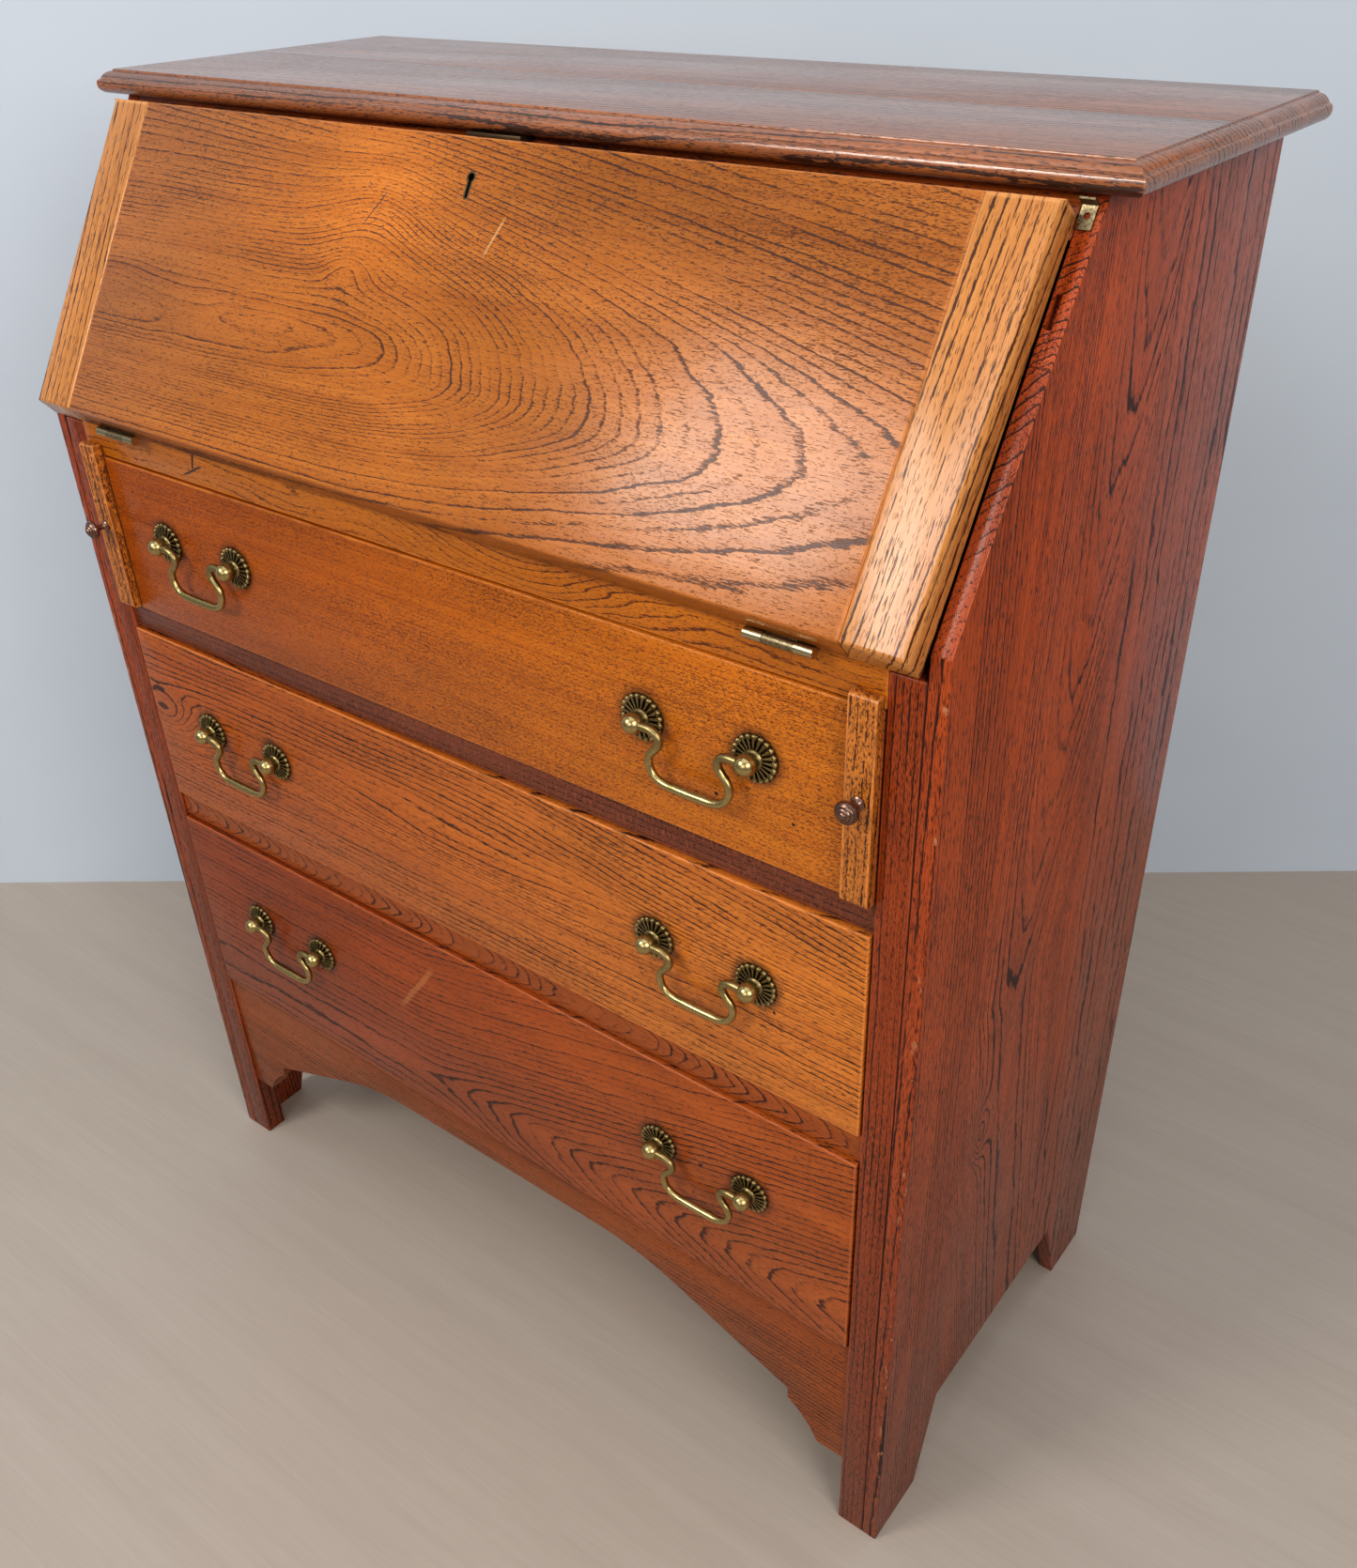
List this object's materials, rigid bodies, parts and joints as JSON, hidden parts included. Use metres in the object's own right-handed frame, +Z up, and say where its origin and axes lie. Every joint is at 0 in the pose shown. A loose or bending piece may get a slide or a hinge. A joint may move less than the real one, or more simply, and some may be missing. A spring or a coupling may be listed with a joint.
{
  "type": "secretary desk",
  "caption": "Slope-front oak secretary desk with drawers, swinging brass bail handles, pull-out lopers with knobs, a shaped apron and a moulded top.",
  "frame": {"origin": "on the floor, in the middle of the whole width and depth, with the handles", "axes": "+X to the right as one faces the desk, +Y to its back, +Z up"},
  "size_m": [0.8, 0.4046, 0.968],
  "materials": {
    "oak_side": "worn satin varnish",
    "oak_top": "satin varnish with a grey sheen",
    "oak_fall": "satin varnish",
    "oak_clamp": "satin varnish",
    "oak_rail": "satin varnish",
    "dark_rail": "worn satin varnish",
    "oak_loper": "worn satin varnish",
    "oak_front": "satin varnish",
    "oak_desk": "satin varnish",
    "plain_wood": "bare wood",
    "handle_brass": "aged, polished where it is held",
    "hinge_brass": "aged",
    "lock_brass": "aged",
    "knob_bronze": "dark brown patina"
  },
  "bodies": {
    "carcass": {"side_panel_left": "oak_side", "side_panel_right": "oak_side", "stile_left": "oak_side", "stile_right": "oak_side", "top_board_front": "oak_top", "top_board_back": "oak_top", "hinge_rail": "oak_rail", "lower_rail": "oak_rail", "apron": "oak_rail", "divider_rail": "dark_rail", "writing_board": "oak_desk", "pigeonhole_shelf": "oak_desk", "pigeonhole_dividers": "oak_desk", "top_rail": "oak_desk", "back_boards": "plain_wood", "drawer_runners": "plain_wood", "loper_guides": "plain_wood", "hinge_leaves_fixed": "hinge_brass", "hinge_pins": "hinge_brass", "hinge_screws_fixed": "hinge_brass", "fall_catch": "hinge_brass", "lock_strike": "lock_brass"},
    "fall": {"fall_panel": "oak_fall", "fall_clamp_left": "oak_clamp", "fall_clamp_right": "oak_clamp", "keyhole_liner": "lock_brass", "lock_case": "lock_brass", "hinge_leaves_fall": "hinge_brass", "hinge_screws_fall": "hinge_brass"},
    "bolt": {"lock_bolt": "lock_brass"},
    "loper_left": {"loper_bearer_left": "oak_loper", "loper_front_left": "oak_loper", "loper_knob_left": "knob_bronze"},
    "loper_right": {"loper_bearer_right": "oak_loper", "loper_front_right": "oak_loper", "loper_knob_right": "knob_bronze"},
    "drawer_top": {"drawer_top_front": "oak_front", "drawer_top_sides": "plain_wood", "drawer_top_bottom": "plain_wood", "drawer_top_back": "plain_wood", "drawer_top_rosettes": "handle_brass", "drawer_top_posts": "handle_brass"},
    "drawer_middle": {"drawer_middle_front": "oak_front", "drawer_middle_sides": "plain_wood", "drawer_middle_bottom": "plain_wood", "drawer_middle_back": "plain_wood", "drawer_middle_rosettes": "handle_brass", "drawer_middle_posts": "handle_brass"},
    "drawer_bottom": {"drawer_bottom_front": "oak_front", "drawer_bottom_sides": "plain_wood", "drawer_bottom_bottom": "plain_wood", "drawer_bottom_back": "plain_wood", "drawer_bottom_rosettes": "handle_brass", "drawer_bottom_posts": "handle_brass"},
    "bail_top_left": {"drawer_top_bail_left": "handle_brass"},
    "bail_top_right": {"drawer_top_bail_right": "handle_brass"},
    "bail_middle_left": {"drawer_middle_bail_left": "handle_brass"},
    "bail_middle_right": {"drawer_middle_bail_right": "handle_brass"},
    "bail_bottom_left": {"drawer_bottom_bail_left": "handle_brass"},
    "bail_bottom_right": {"drawer_bottom_bail_right": "handle_brass"}
  },
  "joints": [
    {"name": "fall_hinge", "type": "hinge", "parent": "carcass", "child": "fall", "pos_m": [0, -0.18675, 0.75], "axis": [1, 0, 0], "range_deg": [0, 122.4]},
    {"name": "lock_bolt_slide", "type": "slide", "parent": "fall", "child": "bolt", "axis": [0, 0.5358, 0.8443], "range_m": [0, 0.008]},
    {"name": "loper_left_slide", "type": "slide", "parent": "carcass", "child": "loper_left", "axis": [0, -1, 0], "range_m": [0, 0.24]},
    {"name": "loper_right_slide", "type": "slide", "parent": "carcass", "child": "loper_right", "axis": [0, -1, 0], "range_m": [0, 0.24]},
    {"name": "drawer_top_slide", "type": "slide", "parent": "carcass", "child": "drawer_top", "axis": [0, -1, 0], "range_m": [0, 0.25]},
    {"name": "drawer_middle_slide", "type": "slide", "parent": "carcass", "child": "drawer_middle", "axis": [0, -1, 0], "range_m": [0, 0.25]},
    {"name": "drawer_bottom_slide", "type": "slide", "parent": "carcass", "child": "drawer_bottom", "axis": [0, -1, 0], "range_m": [0, 0.25]},
    {"name": "bail_top_left_swing", "type": "hinge", "parent": "drawer_top", "child": "bail_top_left", "pos_m": [-0.227, -0.18875, 0.67], "axis": [-1, 0, 0], "range_deg": [0, 95]},
    {"name": "bail_top_right_swing", "type": "hinge", "parent": "drawer_top", "child": "bail_top_right", "pos_m": [0.227, -0.18875, 0.67], "axis": [-1, 0, 0], "range_deg": [0, 95]},
    {"name": "bail_middle_left_swing", "type": "hinge", "parent": "drawer_middle", "child": "bail_middle_left", "pos_m": [-0.228, -0.18875, 0.507], "axis": [-1, 0, 0], "range_deg": [0, 95]},
    {"name": "bail_middle_right_swing", "type": "hinge", "parent": "drawer_middle", "child": "bail_middle_right", "pos_m": [0.228, -0.18875, 0.507], "axis": [-1, 0, 0], "range_deg": [0, 95]},
    {"name": "bail_bottom_left_swing", "type": "hinge", "parent": "drawer_bottom", "child": "bail_bottom_left", "pos_m": [-0.223, -0.18875, 0.316], "axis": [-1, 0, 0], "range_deg": [0, 95]},
    {"name": "bail_bottom_right_swing", "type": "hinge", "parent": "drawer_bottom", "child": "bail_bottom_right", "pos_m": [0.223, -0.18875, 0.316], "axis": [-1, 0, 0], "range_deg": [0, 95]}
  ]
}
